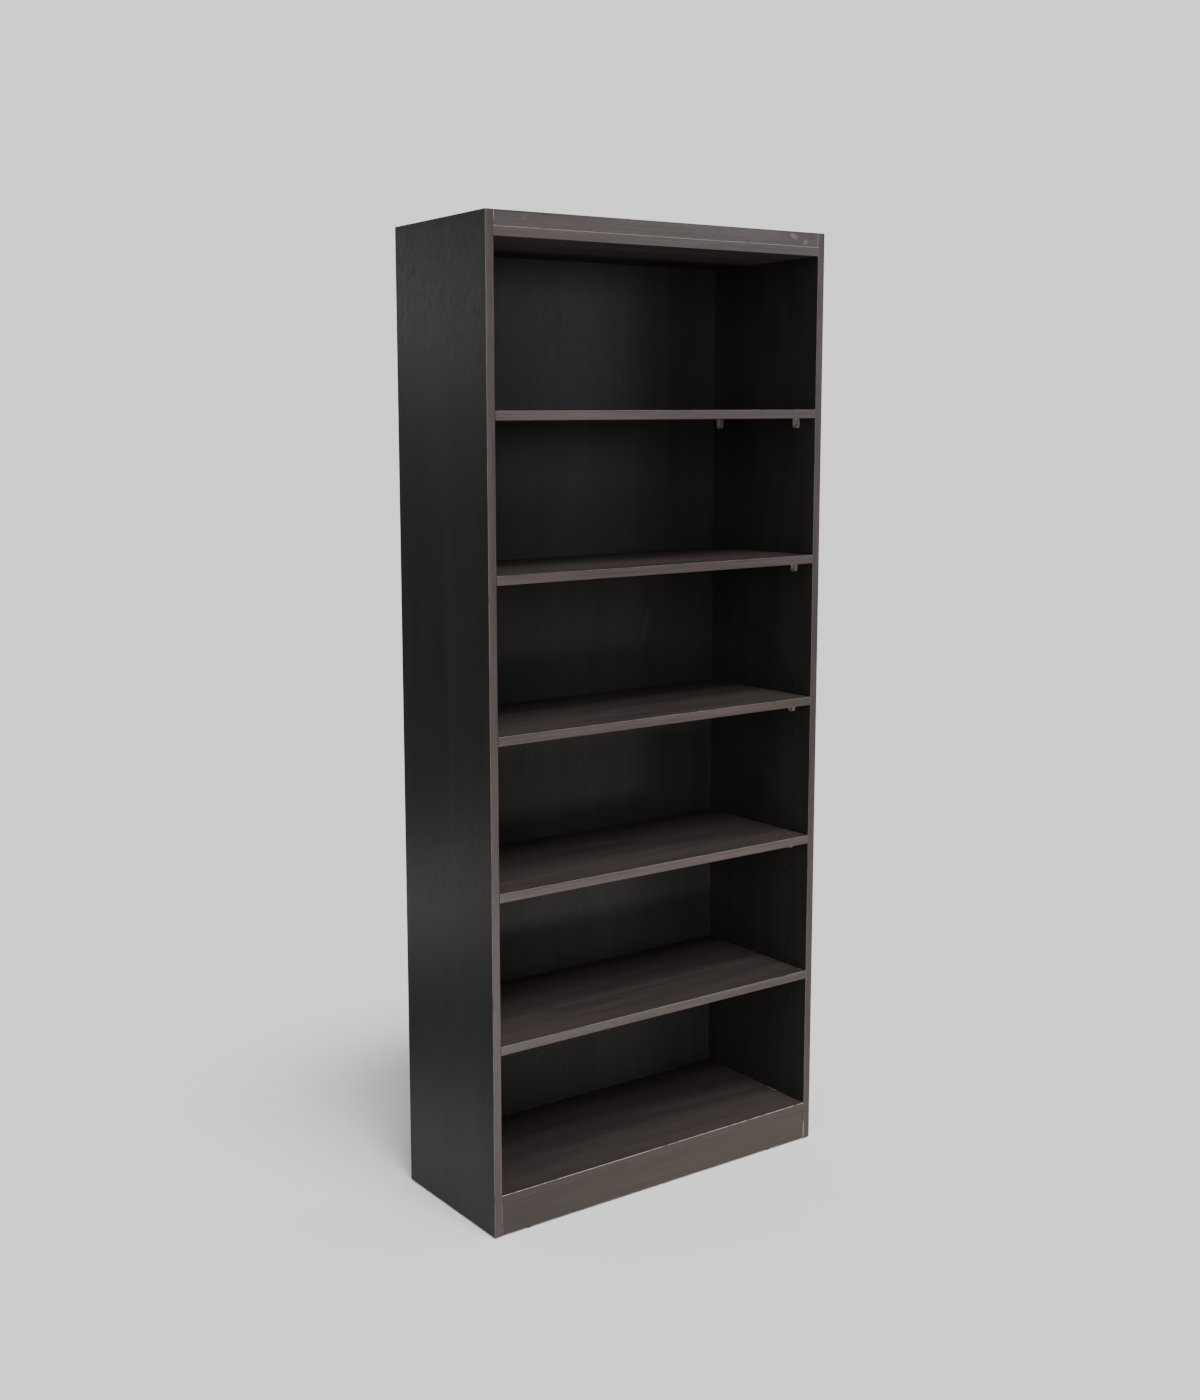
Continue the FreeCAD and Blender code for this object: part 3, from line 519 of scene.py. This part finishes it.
def sky(tree, strength, colour):
    """An even world light of one strength."""
    made = tree.nodes.new("ShaderNodeBackground")
    made.inputs["Color"].default_value = (*colour, 1.0)
    made.inputs["Strength"].default_value = strength
    return made.outputs[0]


def choose(tree, switch, when_off, when_on):
    """One world light or the other, by a switch of 0 or 1."""
    made = tree.nodes.new("ShaderNodeMixShader")
    tree.links.new(switch, made.inputs[0])
    tree.links.new(when_off, made.inputs[1])
    tree.links.new(when_on, made.inputs[2])
    return made.outputs[0]


def studio():
    """A pale backdrop for the camera, an even fill, a dimmer room for reflections, and soft lights."""
    world = bpy.data.worlds.new("studio")
    bpy.context.scene.world = world
    world.use_nodes = True
    tree = world.node_tree
    tree.nodes.clear()
    ray = tree.nodes.new("ShaderNodeLightPath")
    fill = sky(tree, FILL, (0.97, 0.98, 1.0))
    reflected = sky(tree, REFLECTED_ROOM, (0.96, 0.98, 1.0))
    backdrop = sky(tree, BACKDROP, WHITE)
    unseen = choose(tree, ray.outputs["Is Glossy Ray"], fill, reflected)
    output = tree.nodes.new("ShaderNodeOutputWorld")
    tree.links.new(choose(tree, ray.outputs["Is Camera Ray"], unseen, backdrop), output.inputs["Surface"])
    wide_light("key", (-0.3, -2.6, 5.2), 3.9, 34.0, (0.985, 0.99, 1.0))
    wide_light("left_fill", (-3.0, -2.6, 1.5), 1.15, 40.0, WHITE)
    wide_light("right_fill", (3.2, -0.9, 2.6), 0.55, 50.0, (1.0, 0.98, 0.96))
    low_lamp("bounce", (-1.5, -2.6, 0.5), (0.2, 0.0, 1.2), (1.4, 0.4), 9.0, (1.0, 0.86, 0.76))
    low_lamp("uplight", (0.0, -1.3, 0.03), (0.0, -1.25, 2.1), (1.0, 0.3), 20.0, (0.98, 0.98, 1.0))
    sheen_card("upper_glow", (-2.3, 2.95, 2.25), (-0.46, 0.0, 1.95), (0.8, 0.6), 10.0, COOL_SHEEN)
    sheen_card("lower_glow", (-1.38, 1.475, 0.22), (-0.46, 0.0, 0.7), (0.45, 0.22), 2.0, (1.0, 1.0, 0.99))
    sheen_card("arris_glint", (-2.9, -1.75, 2.0), (-0.46, -0.17, 1.95), (0.5, 0.9), 85.0, (0.88, 0.93, 1.0))
    sheen_card("top_bay_glow", (2.45, -2.91, 2.3), (0.0, 0.17, 1.95), (1.8, 0.9), 34.0, (0.97, 0.98, 1.0))
    sheen_card("warm_glow_high", (1.82, -2.58, 0.28), (-0.11, 0.17, 0.93), (0.6, 0.35), 11.0, WARM_SHEEN)
    sheen_card("warm_glow_low", (0.90, -0.98, 0.15), (0.04, 0.17, 0.57), (0.35, 0.15), 1.6, WARM_SHEEN)


def camera():
    """The view from the front left, at the height of a person's eyes."""
    forward = Vector(CAMERA_FORWARD).normalized()
    right = Vector(CAMERA_RIGHT).normalized()
    upward = right.cross(forward).normalized()
    turn = Matrix((right, upward, -forward)).transposed()
    lens = bpy.data.cameras.new("camera")
    lens.lens = LENS_LENGTH
    lens.sensor_width = 36.0
    lens.shift_x, lens.shift_y = LENS_SHIFT
    holder = bpy.data.objects.new("camera", lens)
    holder.matrix_world = Matrix.Translation(Vector(CAMERA_PLACE)) @ turn.to_4x4()
    bpy.context.scene.collection.objects.link(holder)
    bpy.context.scene.camera = holder


camera()
floor()
studio()
finish_case()
